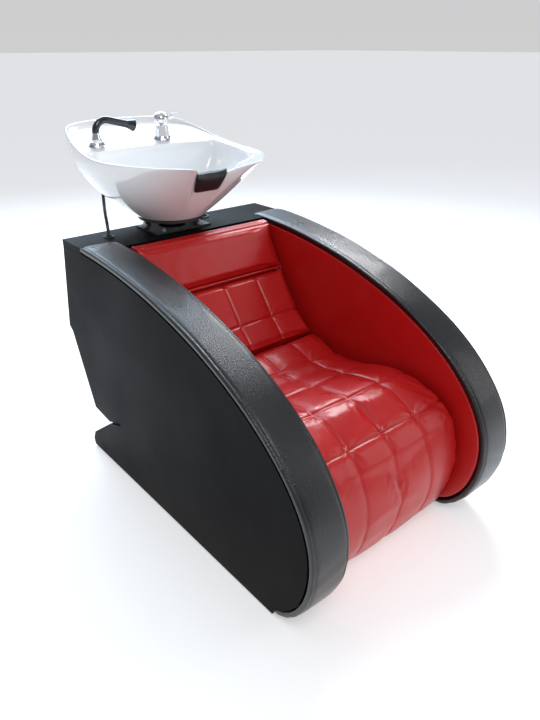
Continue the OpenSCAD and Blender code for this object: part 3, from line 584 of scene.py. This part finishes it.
# ---- bowl -----------------------------------------------------------------
# One-piece glazed ceramic: a deep basin, a neck recess at the front, a rear
# shelf for the taps, one wall thickness, a flat round foot.
foot_z, foot_r, basin_z, wall = 0.714, 0.100, 0.746, 0.014
# From the front to the rear, in millimetres: the rim and the basin's edge, each
# across, along and up; then how far the outside bulges and how hollow the wall is
bowl_half = [
    (0, -207, 852, 0, -187, 846, 1.25, 0), (30, -209, 852, 32, -188, 846, 1.25, 0),
    (52, -220, 856, 58, -190, 850, 1.2, 0), (74, -262, 874, 84, -187, 862, 1, 0),
    (104, -301, 889, 112, -182, 874, 0.85, 0), (147, -262, 891, 146, -173, 880, 1, 0),
    (187, -211, 891, 174, -155, 882, 1.25, 0), (222, -115, 890, 204, -100, 884, 1.7, 0),
    (238, -12, 892, 220, -12, 886, 2, 0), (233, 90, 906, 212, 50, 896, 2.3, 0.3),
    (215, 182, 930, 190, 70, 903, 2.5, 0.9), (187, 247, 948, 152, 78, 905, 2.5, 1),
    (118, 280, 955, 92, 83, 906, 2.5, 1), (0, 292, 957, 0, 85, 906, 2.5, 1)]
bowl_rows = np.array(bowl_half + [(-r[0], r[1], r[2], -r[3], *r[4:]) for r in bowl_half[-2:0:-1]], float)
bowl_rows[:, :6] /= 1000


def row_at(place):
    """The row at a place between two rows."""
    k, t = int(place // 1) % len(bowl_rows), place % 1
    a, b, c, d = (bowl_rows[(k + i) % len(bowl_rows)] for i in (-1, 0, 1, 2))
    return b + 0.5 * t * (c - a + t * (2 * a - 5 * b + 4 * c - d + t * (3 * (b - c) + d - a)))


def unit(v):
    return v / np.linalg.norm(v)


def hull_at(r, s, d=0.0):
    """Point of the outside, from the foot at 0 to the rim at 1, moved into the wall by d."""
    out, rim = unit(r[:2]), r[:2]
    w = 1 - (1 - s) ** r[6]
    p = out * foot_r + (rim - out * foot_r) * w - out * d
    return np.array([*p, foot_z + (r[2] - foot_z) * s])


def basin_at(r, a, d=0.0):
    """Point of the basin, from its edge at 0 degrees to its floor at 90, moved into the wall by d."""
    out = unit(r[3:5])
    edge, low = r[3:5] + out * d, out * 0.04
    p = low + (edge - low) * math.cos(math.radians(a))
    return np.array([*p, r[5] - d - (r[5] - basin_z) * math.sin(math.radians(a))])


def bowl_section(r):
    """Closed line around the wall in one row: basin, shelf, rim, outside, foot and the hollow under it."""
    rim, edge = r[:2], r[3:5]
    inward, out = unit(edge - rim), unit(rim)
    shelf = rim + inward * wall
    shelf_z = min(r[5] + 0.1 * np.linalg.norm(shelf - edge), r[2] - 0.004)
    c = min(1, max(0, r[7]))
    points = [np.array([*(out * 0.0225), basin_z]), np.array([*(unit(edge) * 0.04), basin_z])]
    points += [basin_at(r, a) for a in (72, 56, 42, 29, 17, 7, 0)]
    points += [np.array([*shelf, shelf_z]), np.array([*(rim + inward * (wall - 0.003)), r[2] - 0.0015]),
               np.array([*(rim + inward * 0.007), r[2] + 0.001]),
               np.array([*(rim + inward * 0.0015), r[2] - 0.001])]
    points += [hull_at(r, s) for s in (0.97, 0.9, 0.8, 0.67, 0.53, 0.4, 0.27, 0.15, 0.06, 0.008, 0)]
    points += [np.array([*(out * (foot_r - 0.002)), foot_z]), np.array([*(out * (foot_r - wall)), foot_z])]
    for k, s in enumerate((0.1, 0.3, 0.48, 0.64, 0.74)):
        level = np.array([*(out * (0.084 - 0.004 * k)), foot_z + 0.003 + 0.0015 * k])
        points.append(level + c * (hull_at(r, s, wall) - level))
    for k, a in enumerate((4, 24, 42, 56)):
        level = np.array([*(out * (0.064 - 0.005 * k)), foot_z + 0.009 - 0.0015 * k])
        points.append(level + c * (basin_at(r, a, wall + 0.002) - level))
    points += [np.array([*(out * 0.042), foot_z + 0.004]), np.array([*(out * 0.0225), foot_z + 0.004])]
    return [p + (bowl_x, bowl_y, 0) for p in points]


glaze = finish("white_glaze", (0.84, 0.85, 0.86), 0.07, coat=0.5, tone=0.015, patches=4, grain=60,
               relief=0.00006, gloss_swing=0.02)
bowl = loft("bowl_shell", [bowl_section(row_at(k / 4)) for k in range(4 * len(bowl_rows))], glaze)
round_off = bowl.modifiers.new("round", "SUBSURF")
round_off.levels = round_off.render_levels = 1
# Cuts in millimetres: the mixer's hole and seat, the hose socket's hole and seat,
# and the way out of the foot for the hoses under the mixer
cutters = []
for dx, dy, low, high, radius in ((60, 120, 870, 930, 17.5), (60, 120, 909, 929, 29),
                                  (-160, 108, 730, 950, 13), (-160, 108, 909, 929, 26),
                                  (88, 92, 700, 760, 28)):
    build = bmesh.new()
    bmesh.ops.create_cone(build, cap_ends=True, segments=64, radius1=radius / 1000, radius2=radius / 1000,
                          depth=(high - low) / 1000)
    bmesh.ops.translate(build, verts=build.verts,
                        vec=(bowl_x + dx / 1000, bowl_y + dy / 1000, (high + low) / 2000))
    mesh = bpy.data.meshes.new("cutter")
    build.to_mesh(mesh)
    build.free()
    cutter = bpy.data.objects.new("cutter", mesh)
    scene.collection.objects.link(cutter)
    cutters.append(cutter)
    cut = bowl.modifiers.new("cut", "BOOLEAN")
    cut.object = cutter
    cut.solver = "EXACT"
bowl.data = bpy.data.meshes.new_from_object(bowl.evaluated_get(bpy.context.evaluated_depsgraph_get()))
bowl.modifiers.clear()
for cutter in cutters:
    bpy.data.objects.remove(cutter)
bowl.data.polygons.foreach_set("use_smooth", [True] * len(bowl.data.polygons))
bowl.data.set_sharp_from_angle(angle=math.radians(40))
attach(bowl, "bowl")
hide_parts("ceramic_bowl")

# ---- neck rest ------------------------------------------------------------
# A black rubber saddle pushed over the lip of the neck recess. It follows the rim
# from the basin's edge over the lip and down the outside, thickest in the middle.
rubber = finish("neck_rubber", (0.012, 0.012, 0.013), 0.42, tone=0.2, grain=300, relief=0.00015)
neck_rings = []
for k in range(-18, 19):
    r, before, after = (row_at(((k + d) / 9) % len(bowl_rows)) for d in (0, -1, 1))
    thick = (13 - 0.2 * (k / 3) ** 2) / 1000
    rim, edge = r[:2], r[3:5]
    inward = unit(edge - rim)
    out = unit(np.array([after[1] - before[1], before[0] - after[0]]))
    hull = [hull_at(r, s) for s in (0.97, 0.8, 0.67)]
    ring = [np.array([*edge, r[5] + 0.0025]), np.array([*(rim + inward * 0.01), r[2] + 0.0025]),
            np.array([*(rim + inward * 0.004), r[2] + 0.0035]),
            np.array([*(rim + out * 0.003), r[2] + 0.001])]
    ring += [h + (*(out * 0.003), -0.001) for h in hull]
    ring += [hull[j] + (*(out * (0.003 + thick)), 0) for j in (2, 1, 0)]
    ring += [np.array([*(rim + out * thick * 0.8), r[2] + 0.008]),
             np.array([*(rim + inward * 0.003), r[2] + 0.012]), np.array([*edge, r[5] + 0.008])]
    neck_rings.append([p + (bowl_x, bowl_y, 0) for p in ring])
neck = loft("neck_rest_skin", neck_rings, rubber, around=False)
round_off = neck.modifiers.new("round", "SUBSURF")
round_off.levels = round_off.render_levels = 1
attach(neck, "bowl")
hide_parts("neck_rest")
